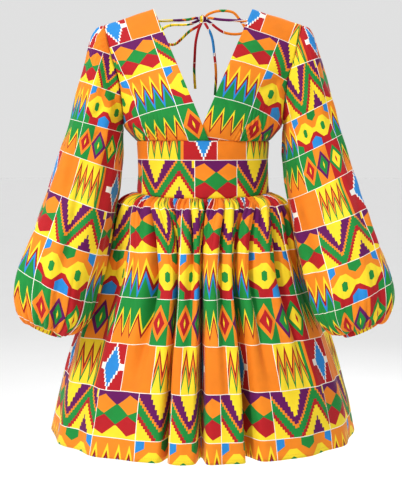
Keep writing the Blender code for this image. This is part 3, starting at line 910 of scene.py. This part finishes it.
# Across counts out from the neckline edge and down along it, on the right front and the left front.
BODICE_CREASES = {
    -1: table(
        CREASE,
        (118, 120, 60, 205, 9, -3.0),
        (128, 150, 92, 215, 7, -2.8),
        (98, 128, 126, 178, 5, -2.6),
        (106, 96, 130, 138, 5, -2.4),
        (20, 120, 55, 215, 10, 1.5),
        (8, 190, 46, 250, 6, -1.2),
        (30, 60, 70, 110, 12, -1.4),
        (96, 60, 112, 120, 10, -1.6),
    ),
    1: table(
        CREASE,
        (120, 125, 66, 200, 9, -2.8),
        (130, 160, 100, 222, 7, -2.6),
        (104, 140, 132, 186, 5, -2.2),
        (18, 130, 60, 220, 10, 1.4),
        (10, 200, 50, 262, 6, -1.3),
        (34, 66, 66, 120, 12, -1.3),
        (100, 66, 116, 130, 10, -1.6),
    ),
}
BACK_BODICE_CREASES = table(
    CREASE,
    (150, 150, 70, 235, 9, -1.8),
    (60, 150, 100, 240, 10, 1.4),
    (120, 60, 140, 130, 11, -1.6),
    (40, 235, 90, 270, 7, -1.2),
)
BACK_CREASE_SHIFT = 7  # so that the two backs don't crease alike


def bodice_rows(neck_x, row, outer, share):
    x = neck_x + (outer.outer_x - neck_x) * share
    across = np.minimum(np.abs(x) / outer.outer_x, 1)
    y = row.outer_y + (row.centre_y - row.outer_y) * (1 - across * across) ** row.roundness
    return x, y, row.neck_down + (outer.outer_down - row.neck_down) * share


def even_table_places(rows, lines):
    """Row numbers of a table, with fractions, at nearly even distances down the cloth."""
    steps = np.hypot(np.diff([row.neck_down for row in rows]), np.diff([row.centre_y for row in rows]))
    along = running_sum(steps)
    return np.interp(np.linspace(0, along[-1], lines + 1), along, range(len(rows)))


def seam_dips(edge_distance):
    """How far in the cloth turns close to a seam."""
    return -SEAM_DIP * bell(edge_distance, SEAM_REACH)


def sewn_panel(points, out):
    """A bodice panel with its folds pushed out, its seams turned in and its neckline edge hemmed."""
    width, height = running_length(points, 1), running_length(points, 0)
    out = out + seam_dips(width[:, -1:] - width) + seam_dips(height[-1:] - height) + seam_dips(height)
    out = out + NECK_HEM_RISE * bell(width - NECK_HEM, NECK_HEM_REACH)
    return pushed_out(points, out, BODY_AXIS)


def edge_frame(points):
    """Places on the flat cut piece, from distances along its neckline edge and out from it."""
    out = running_length(points, 1)
    edge = points[:, 0]
    edge_way = np.gradient(edge, axis=0)
    row_way = points[:, 4] - edge
    turn = (edge_way * row_way).sum(1)
    turn /= np.linalg.norm(edge_way, axis=1) * np.linalg.norm(row_way, axis=1)
    turn = turn[:, None]
    return out * np.sqrt(1 - turn**2), distance_along(edge)[:, None] + out * turn


def front_panel(side, material):
    places = even_table_places(FRONT_ROWS, BODICE_LINES)
    row = read_table(FRONT_ROWS, range(len(FRONT_ROWS)), places)
    share = np.linspace(0, 1, BODICE_COLUMNS + 1)[None, :]
    crossing = OVER_CROSSING if side < 0 else UNDER_CROSSING
    neck_x = NECK_HALF_WIDTH - (NECK_HALF_WIDTH + crossing) * row.neck_down / BODICE_LENGTH
    x, y, down = bodice_rows(neck_x, row, row, share)
    if side > 0:
        y = y + LAP_DEPTH * eased(x, *LAP_RAMP) * eased(down, *LAP_RISE)
    points = np.stack([side * x, np.minimum(y, 0), NECK_POINT_HEIGHT - down], axis=2)
    across, along = edge_frame(points)
    start, end = BUST_GATHER_SPAN
    in_gathers = eased(share, start - 0.03, start + 0.05) * eased(share, end + 0.05, end - 0.03)
    ridges = gathers(share * BUST_GATHER_WIDTH, BUST_GATHER_PITCH, seed=2.0 + side)
    out = BUST_GATHER_DEPTH * row.gather * in_gathers * ridges
    out = out + crease_depth(BODICE_CREASES[side], across, along)
    out = out + FRONT_UNEVENNESS * unevenness(across, along, seed=11 + side) * eased(share, 0.0, 0.1)
    points = sewn_panel(points, out)
    lay = FRONT_PRINT[side]
    fall = lay.fall + lay.steeper * eased(along, *lay.stretch)
    u = lay.across + lay.turn * along + side * across
    v = along - lay.down + fall * across * (1 - across / lay.levels_out)
    piece = add_cloth(
        "front_bodice_" + SIDES[side], points, u, v, BODY_AXIS, material,
        ("bodice_front_" + SIDES[side],),
    )


def back_panel(side, material):
    places = even_table_places(FRONT_ROWS, BODICE_LINES)
    outer = read_table(FRONT_ROWS, range(len(FRONT_ROWS)), places)
    row = read_table(BACK_ROWS, range(len(BACK_ROWS)), places)
    share = np.sin(np.linspace(0, math.pi / 2, BODICE_COLUMNS + 1))[None, :]
    x, y, down = bodice_rows(row.neck_x, row, outer, share)
    points = np.stack([side * x, np.maximum(y, 0), NECK_POINT_HEIGHT - down], axis=2)
    across = running_length(points, 1) + row.neck_x
    along = running_length(points, 0)[:, BODICE_COLUMNS // 2, None]
    out = crease_depth(BACK_BODICE_CREASES, across, along + BACK_CREASE_SHIFT * side)
    out = out + BACK_UNEVENNESS * unevenness(across, along, seed=21 + side)
    points = sewn_panel(points, out)
    print_across, print_down = BACK_PRINT_PLACE
    piece = add_cloth(
        "back_bodice_" + SIDES[side], points, print_across - side * across, along - print_down,
        BODY_AXIS, material, ("bodice_back_" + SIDES[side],),
    )


# The waist band

BAND_AXIS = np.array([0.0, 0.0, -300.0])
BAND_LINES = 44
BAND_COLUMNS = 220
BAND_PUCKER_PITCH = 7.0
BAND_PUCKER_HEIGHT = 0.32
BAND_UNEVENNESS = 0.45
GATHER_SHIFT = 400  # where gathers are counted from, well outside a piece
BAND_PRINT = {-1: 16, 1: 60}  # where each band's middle lies across the print
BAND_PRINT_DOWN = 37  # how far below a band's top the diamonds start
BAND_CREASES = table(
    CREASE,
    (-150, 30, -70, 36, 8, -0.9),
    (40, 66, 150, 58, 9, -1.0),
    (-60, 80, 30, 86, 7, -0.7),
    (-20, 22, 60, 28, 8, 0.7),
    (120, 24, 180, 40, 7, -0.9),
    (-190, 70, -110, 84, 8, -0.9),
)


def band_panel(towards, material):
    knots = [row.centre_down - BODICE_LENGTH for row in BAND_ROWS]
    height = knots[-1]
    along = np.linspace(0, height, BAND_LINES + 1)
    row = read_table(BAND_ROWS, knots, along)
    along = along[:, None]
    angle = np.radians(np.linspace(-90, 90, BAND_COLUMNS + 1))[None, :]
    depth = row.front_depth if towards < 0 else row.back_depth
    x, y = row.half_width * np.sin(angle), depth * np.cos(angle)
    down = row.side_down + (row.centre_down - row.side_down) * np.cos(angle)
    points = np.stack([x, towards * y, NECK_POINT_HEIGHT - down], axis=2)
    edge = running_length(points, 1)
    across = edge - edge[:, BAND_COLUMNS // 2, None]
    near_seams = bell(along, 7) + 1.3 * bell(height - along, 9)
    out = crease_depth(BAND_CREASES, across * -towards, along)
    out = out + BAND_PUCKER_HEIGHT * gathers(across + GATHER_SHIFT, BAND_PUCKER_PITCH, seed=4.0) * near_seams
    off_seams = eased(bell(along - 55, 60), 0, 1)
    out = out + BAND_UNEVENNESS * unevenness(across, along * 1.6, seed=31 + towards) * off_seams
    for edge_distance in (along, height - along, edge, edge[:, -1:] - edge):
        out = out + seam_dips(edge_distance)
    points = pushed_out(points, out, BODY_AXIS)
    piece = add_cloth(
        "waist_band_" + FACES[towards], points, BAND_PRINT[towards] - towards * across,
        along - BAND_PRINT_DOWN, BAND_AXIS, material, ("band_" + FACES[towards],),
    )


# The skirt

SKIRT_AXIS = np.array([0.0, 0.0, -600.0])
SKIRT_LINES = 92
LINE_CROWDING = 1.35  # over 1, so that the lines are closest at the waist
SKIRT_COLUMNS = 500
SKIRT_PRINT_SCALE = 82 / 86.5  # the print's row height, against the rows' distance on the worn skirt
SKIRT_PRINT_ACROSS = {-1: -240, 1: 1060}  # where each panel's start lies across the print
FIRST_ROW_DOWN = 35.5
GATHER_PITCH = 44.6
GATHER_HEIGHT = 1.6
FINE_PITCH = 30
FINE_GATHERS = ([0, 6, 16, 40, 85, 150, 210], [0.9, 4.0, 5.0, 4.2, 2.8, 1.2, 0])  # height at each place down
SIDE_REACH = 26  # how far from a side seam the gathers reach their full height
WAIST_DIP, WAIST_REACH = 1.9, 2.6
HEM_FOLD = 9
HEM_PUCKER_PITCH = 13.0
HEM_PUCKER_HEIGHT = 0.25
STITCH_DIP = 0.45
HEM_EDGE_RISE = 0.3
SKIRT_UNEVENNESS = 1.5

FRONT_SKIRT_CREASES = table(
    CREASE,
    (60, 120, 44, 430, 18, -7),
    (128, 30, 122, 150, 24, -9),  # where the wearer's right sleeve lies against the skirt
    (150, 200, 165, 480, 20, 7),
    (250, 90, 262, 330, 15, -7),
    (300, 250, 322, 500, 16, 6),
    (548, 120, 556, 300, 9, -4),
    (728, 160, 735, 460, 12, 4),
    (760, 60, 752, 210, 10, -6),
    (960, 120, 990, 400, 18, -7),
    (1030, 240, 1052, 500, 20, 7),
    (1110, 120, 1124, 330, 16, -7),
    (1190, 220, 1204, 470, 20, -7),
    (120, 330, 240, 372, 26, -1.6),
    (940, 300, 1060, 350, 26, -1.5),
)
BACK_SKIRT_CREASES = table(
    CREASE,
    (70, 140, 58, 440, 18, -9),
    (140, 220, 150, 480, 18, 9),
    (345, 100, 352, 330, 15, -9),
    (410, 240, 402, 500, 18, 8),
    (640, 120, 632, 420, 14, -8),
    (860, 160, 870, 470, 18, -9),
    (905, 90, 900, 260, 12, 8),
    (1110, 200, 1122, 480, 20, 9),
    (1180, 120, 1190, 400, 18, -9),
)


def hem_places(cloth, deep_folds):
    """Where the cloth lies at the hem, as an angle from the panel's middle and how far out it stands."""
    ends = [value for fold in deep_folds for value in (fold.cloth_from, fold.cloth_to)]
    angles = [value for fold in deep_folds for value in (fold.angle_from, fold.angle_to)]
    ends, angles = [0, *ends, SKIRT_CUT_WIDTH], [-90, *angles, 90]
    angle = np.interp(cloth, ends, angles)
    out = np.zeros_like(cloth)
    for number, (start, end) in enumerate(zip(ends, ends[1:])):
        inside = (cloth >= start) & (cloth <= end)
        share = np.clip((cloth - start) / (end - start), 0, 1)
        if number % 2:
            push = -deep_folds[number // 2].depth * np.sin(math.pi * share) ** 0.7
        else:
            wave = SOFT_WAVE * np.sin(math.tau * (cloth - start) / SOFT_WAVE_CLOTH + start)
            swell = FLUTE_SWELL * (end - start) * np.cos(np.radians(angle))
            push = (swell + wave) * np.sin(math.pi * share)
        out[inside] = push[inside]
    return angle, out


def softened(values, reach):
    """Values along the cloth with their corners rounded over this many columns."""
    weights = bell(np.arange(-3 * reach, 3 * reach + 1), reach)
    padded = np.concatenate([np.full(3 * reach, values[0]), values, np.full(3 * reach, values[-1])])
    rounded = np.convolve(padded, weights / weights.sum(), mode="valid")
    ends = np.minimum(np.arange(len(values)), np.arange(len(values))[::-1]) / (3 * reach)
    return values + (rounded - values) * np.clip(ends, 0, 1)


def skirt_panel(towards, deep_folds, upper_folds, creases, material):
    """Adds one panel. Gives the line where its hem is stitched, and the normals there."""
    depths = [row.front_depth if towards < 0 else row.back_depth for row in SKIRT_ROWS]
    knots = running_sum(np.hypot(np.diff([row.centre_down for row in SKIRT_ROWS]), np.diff(depths)))
    along = knots[-1] * np.linspace(0, 1, SKIRT_LINES + 1) ** LINE_CROWDING
    row = read_table(SKIRT_ROWS, knots, along)
    along = along[:, None]
    to_hem = knots[-1] - along
    cloth = np.linspace(0, SKIRT_CUT_WIDTH, SKIRT_COLUMNS + 1)
    to_side = np.minimum(cloth, SKIRT_CUT_WIDTH - cloth)
    window = eased(to_side, 0, SIDE_REACH)

    even = -90 + 180 * cloth / SKIRT_CUT_WIDTH
    hem_angle, hem_out = (softened(values, 3) for values in hem_places(cloth, deep_folds))
    angle = np.radians(even + (hem_angle - even) * row.settled)
    out = row.fold * hem_out
    for fold in upper_folds:
        out = out - row.upper * fold.depth * bell(cloth - fold.cloth, fold.spread)
    out = out + crease_depth(creases, cloth, along) * window
    hanging = eased(along, 40, 160)
    out = out + SKIRT_UNEVENNESS * unevenness(cloth, along * 0.45, seed=41 + towards) * window * hanging
    puckers = gathers(cloth, HEM_PUCKER_PITCH, seed=7.0) * bell(to_hem - HEM_FOLD, 5)
    stitched = STITCH_DIP * bell(to_hem - HEM_FOLD, 1.8)
    edge = HEM_EDGE_RISE * bell(to_hem - 3, 4)
    out = out + (HEM_PUCKER_HEIGHT * puckers - stitched + edge) * window
    out = out - WAIST_DIP * bell(along, WAIST_REACH) - SEAM_DIP * bell(to_side, 3.0)

    depth = row.front_depth if towards < 0 else row.back_depth
    x, y = row.half_width * np.sin(angle), depth * np.cos(angle)
    reach = 1 + out / np.hypot(x, y)
    down = row.side_down + (row.centre_down - row.side_down) * np.cos(angle)
    points = np.stack([x * reach, towards * np.maximum(y, 0) * reach, NECK_POINT_HEIGHT - down], axis=2)
    ridges = gathers(cloth, GATHER_PITCH, seed=1.0 + towards)
    raised = GATHER_HEIGHT * row.gather * eased(along, -2, 6) * ridges * window
    fine = np.interp(along, *FINE_GATHERS) * gathers(cloth, FINE_PITCH, seed=5.0 + towards)
    raised = raised + fine * window
    points = pushed_out(points, raised, SKIRT_AXIS)
    side = FACES[towards]
    piece = add_cloth(
        "skirt_" + side + "_cloth", points, SKIRT_PRINT_ACROSS[towards] - towards * cloth,
        (along - FIRST_ROW_DOWN) * SKIRT_PRINT_SCALE, SKIRT_AXIS, material,
        ("skirt_" + side,),
    )
    stitch_line = np.argmin(np.abs(to_hem - HEM_FOLD))
    return points[stitch_line], grid_normals(points, SKIRT_AXIS)[stitch_line]


# The sleeves

SLEEVE_LINES = 130
SLEEVE_COLUMNS = 260
HEAD_PITCH = 11.0
HEAD_HEIGHT = 1.25
CUFF_PITCH = 15.0
CUFF_GATHER_HEIGHT = 1.9
# Pleats over the lowest part of the balloon: their pitch, height, distance from the cuff and reach.
PLEAT_PITCH, PLEAT_HEIGHT, PLEAT_UP, PLEAT_REACH = 2.3 * CUFF_PITCH, 2.6, 55, 45
SLEEVE_CREASE_STRENGTH = 1.6
SLEEVE_UNEVENNESS = 2.0
SLEEVE_GATHER_SHIFT = 600
# Where the lines between the print's rows cross each sleeve, and how fast each rises towards the outside.
PRINT_LINE = "print_down out down slant"
SLEEVE_PRINT_LINES = {
    -1: table(
        PRINT_LINE,
        (-82, 200, 8, 0.36),
        (0, 200, 86, 0.36),
        (82, 205, 155, 0.36),
        (164, 214, 229, 0.26),
        (246, 232, 294, 0.36),
        (328, 246, 371.5, 0.37),
        (410, 262, 448, 0.38),
        (492, 270, 530, 0.48),
        (574, 276, 611, 0.48),
        (656, 276, 690, 0.48),
    ),
    1: table(
        PRINT_LINE,
        (-82, 200, 30, 0.32),
        (0, 203, 107, 0.38),
        (82, 205, 204, 0.52),
        (164, 214, 275, 0.5),
        (246, 232, 342.5, 0.48),
        (328, 246, 410, 0.36),
        (410, 262, 482.5, 0.38),
        (492, 270, 555.7, 0.44),
        (574, 276, 632, 0.44),
        (656, 276, 710, 0.44),
    ),
}
SLEEVE_PRINT_ACROSS = {-1: 0, 1: 258}  # where each sleeve's outer line lies in the print
HEAD_RINGS = 3  # how many rings the sleeve's head takes in
# Across counts round the sleeve from its outer line, by the front, and down along it.
SLEEVE_CREASES = {
    -1: table(
        CREASE,
        (150, 60, 90, 130, 9, -2.6),
        (160, 110, 110, 175, 8, -2.2),
        (60, 150, 84, 330, 13, 2.8),
        (118, 210, 140, 420, 12, -3.2),
        (20, 230, 34, 400, 14, -2.8),
        (84, 380, 108, 560, 12, -3.4),
        (150, 400, 176, 560, 13, 3.0),
        (40, 430, 54, 570, 12, 2.6),
        (-70, 200, -90, 420, 15, -3.4),
        (-120, 300, -140, 540, 14, 3.2),
        (-30, 380, -40, 560, 12, -3.0),
    ),
    1: table(
        CREASE,
        (148, 70, 88, 140, 9, -2.4),
        (158, 120, 112, 185, 8, -2.4),
        (54, 170, 74, 350, 13, 2.6),
        (112, 230, 146, 430, 12, -3.0),
        (14, 250, 30, 430, 14, -3.0),
        (78, 400, 100, 560, 12, -3.4),
        (144, 380, 170, 560, 13, 3.0),
        (36, 440, 48, 570, 12, 2.6),
        (-76, 220, -84, 430, 15, -3.2),
        (-126, 320, -134, 540, 14, 3.0),
        (-34, 400, -44, 560, 12, -3.2),
    ),
}


def ring_of(side, outer, inner, centre_y, half_depth, lean, theta):
    """A ring between its outer and inner points. theta is 0 at the outer one and positive in front."""
    outer_end = np.array([side * outer[0], centre_y, NECK_POINT_HEIGHT - outer[1]])
    inner_end = np.array([side * inner[0], centre_y, NECK_POINT_HEIGHT - inner[1]])
    tilt = math.radians(lean)
    front = np.array([0, -math.cos(tilt), math.sin(tilt)]) * half_depth
    centre, arm = (outer_end + inner_end) / 2, (outer_end - inner_end) / 2
    return centre + arm * np.cos(theta)[:, None] + front * np.sin(theta)[:, None]


def armhole_of(side, theta):
    """The armhole's seam line, which the sleeve starts from."""
    places = np.abs(theta) / math.pi * UNDERARM_ROW
    front = read_table(FRONT_ROWS, range(len(FRONT_ROWS)), places)
    back = read_table(BACK_ROWS, range(len(BACK_ROWS)), places)
    y = np.where(theta[:, None] >= 0, front.outer_y, back.outer_y)
    return np.hstack([side * front.outer_x, y, NECK_POINT_HEIGHT - front.outer_down])


def straight_across_head(across, out, down, head_end):
    """Places across the print on the sleeve's head, where its lines run straight on up to the armhole."""
    outer_down = [ring.outer_down for ring in SLEEVE_RINGS[:-2]]
    inward = np.interp(down, outer_down, [ring.outer_x for ring in SLEEVE_RINGS[:-2]]) - out
    middle = across.shape[1] // 2
    straight = across.copy()
    for half in (slice(middle, None), slice(middle, None, -1)):
        order = np.argsort(inward[head_end, half])
        known_inward, known_across = inward[head_end, half][order], across[head_end, half][order]
        for line in range(head_end):
            straight[line, half] = np.interp(inward[line, half], known_inward, known_across)
    return straight


def sleeve_print_down(side, out, down):
    """The place down the print, from the two lines between rows that it lies between."""
    lines = SLEEVE_PRINT_LINES[side]
    heights = [line.down - line.slant * (out - line.out) for line in lines]
    total = lines[0].print_down
    for start, end, above, below in zip(heights, heights[1:], lines, lines[1:]):
        share = np.clip((down - start) / (end - start), 0, 1)
        total = total + (below.print_down - above.print_down) * share
    return total


def sleeve(side, material):
    theta = np.linspace(-math.pi, math.pi, SLEEVE_COLUMNS + 1)
    rings = [armhole_of(side, theta)]
    for ring in SLEEVE_RINGS:
        outer, inner = (ring.outer_x, ring.outer_down), (ring.inner_x, ring.inner_down)
        rings.append(ring_of(side, outer, inner, ring.centre_y, ring.half_depth, ring.lean, theta))
    rings = np.array(rings)
    knots = running_sum(np.linalg.norm(np.diff(rings, axis=0), axis=2).mean(1))
    along = np.linspace(0, knots[-1], SLEEVE_LINES + 1)
    base = smooth_curve(knots, rings, along)
    fields = [SLEEVE_RINGS[0]._replace(head=0, fold=0, cuff_gather=0), *SLEEVE_RINGS]
    row = read_table(fields, knots, along)
    along = along[:, None]
    to_cuff = knots[-1] - along
    axis = base.mean(1, keepdims=True)
    round_it = running_length(base, 1)
    round_it = round_it - round_it[:, SLEEVE_COLUMNS // 2, None]
    across = np.sign(theta) * np.maximum.accumulate(np.abs(round_it), axis=0)
    to_seam = np.minimum(across - across[:, :1], across[:, -1:] - across)
    free = eased(to_seam, 0, 20) * eased(along, 0, 60)
    upper = np.maximum(np.cos(theta), 0) ** 0.5
    counted = across + SLEEVE_GATHER_SHIFT

    out = HEAD_HEIGHT * row.head * upper * gathers(counted, HEAD_PITCH, seed=3.0 + side)
    # Soft folds down the sleeve, which wind a little round it.
    out = out + row.fold * (
        0.8 * np.cos(7 * theta + along / 150 + side) + 0.5 * np.cos(11 * theta - along / 190 + 2 * side)
    )
    out = out + CUFF_GATHER_HEIGHT * row.cuff_gather * gathers(counted, CUFF_PITCH, seed=6.0 + side)
    pleats = gathers(counted, PLEAT_PITCH, seed=2.0 + side)
    out = out + PLEAT_HEIGHT * bell(to_cuff - PLEAT_UP, PLEAT_REACH) * pleats
    out = out + SLEEVE_CREASE_STRENGTH * crease_depth(SLEEVE_CREASES[side], across, along) * free
    out = out + SLEEVE_UNEVENNESS * unevenness(across, along * 0.6, seed=51 + side) * free
    out = out - SEAM_DIP * bell(along, 2.4) - SEAM_DIP * bell(to_seam, 2.6)
    points = pushed_out(base, out, axis, closed=True)

    print_down = sleeve_print_down(side, side * points[:, :, 0], NECK_POINT_HEIGHT - points[:, :, 2])
    head_end = np.searchsorted(along[:, 0], knots[HEAD_RINGS + 1])
    straight = straight_across_head(across, side * base[:, :, 0], NECK_POINT_HEIGHT - base[:, :, 2], head_end)
    piece = add_cloth(
        "balloon_sleeve_" + SIDES[side], points, SLEEVE_PRINT_ACROSS[side] - side * straight, print_down,
        axis, material, ("sleeve_" + SIDES[side],),
    )


CUFF_LINES = 16
CUFF_COLUMNS = 320
SHIRRING = 38  # ridges round a cuff
RIDGE_HEIGHT, RIDGE_CHANGE = 0.9, 0.35
CUFF_BULGE = 1.3
CUFF_PRINT_WIDTH, CUFF_PRINT_DOWN, CUFF_PRINT_HEIGHT = 470, 574, 16


def cuff(side, material):
    """The casing at the sleeve's end, shirred by the elastic in it."""
    theta = np.linspace(-math.pi, math.pi, CUFF_COLUMNS + 1)
    outer, inner = np.array(CUFF_OUTER), np.array(CUFF_INNER)
    slope = outer - inner
    up = np.array([slope[1], -slope[0]]) / np.linalg.norm(slope)
    heights = np.linspace(CUFF_HEIGHT, 0, CUFF_LINES + 1)
    centre_y = SLEEVE_RINGS[-1].centre_y
    points = np.array([
        ring_of(side, outer + up * height, inner + up * height, centre_y, CUFF_HALF_DEPTH, 0, theta)
        for height in heights
    ])
    axis = points.mean(1, keepdims=True)
    down = (1 - heights / CUFF_HEIGHT)[:, None]
    ridge = 2 * np.abs(np.cos(SHIRRING / 2 * theta + 0.5 * np.sin(5 * theta) + side)) ** 0.8 - 1
    bulge = np.sin(math.pi * down) ** 0.7
    out = (RIDGE_HEIGHT + RIDGE_CHANGE * np.sin(4 * theta + side)) * ridge * (0.55 + 0.45 * bulge)
    out = out + CUFF_BULGE * bulge - RIDGE_HEIGHT
    print_across = np.interp(theta, [-math.pi, math.pi], [0, CUFF_PRINT_WIDTH])
    piece = add_cloth(
        "elastic_cuff_" + SIDES[side], pushed_out(points, out, axis, closed=True), print_across,
        CUFF_PRINT_DOWN + CUFF_PRINT_HEIGHT * down, axis, material, ("cuff_" + SIDES[side],),
    )


def main():
    add_camera()
    tie_print = printed_cotton("tie_print", on_surface=False)
    add_tie(tie_print)
    add_lights()
    add_floor()
    bodice_print, band_print = printed_cotton("bodice_print"), printed_cotton("band_print")
    skirt_print, sleeve_print = printed_cotton("skirt_print"), printed_cotton("sleeve_print")
    cuff_print, thread = printed_cotton("cuff_print"), sewing_thread()
    for side in (-1, 1):
        front_panel(side, bodice_print)
        back_panel(side, bodice_print)
        sleeve(side, sleeve_print)
        cuff(side, cuff_print)
        band_panel(side, band_print)
    for towards, deep, upper, creases in (
        (-1, FRONT_DEEP_FOLDS, FRONT_UPPER_FOLDS, FRONT_SKIRT_CREASES),
        (1, BACK_DEEP_FOLDS, BACK_UPPER_FOLDS, BACK_SKIRT_CREASES),
    ):
        line, normals = skirt_panel(towards, deep, upper, creases, skirt_print)
        add_stitches("hem_stitches_" + FACES[towards], line, normals, thread)


main()
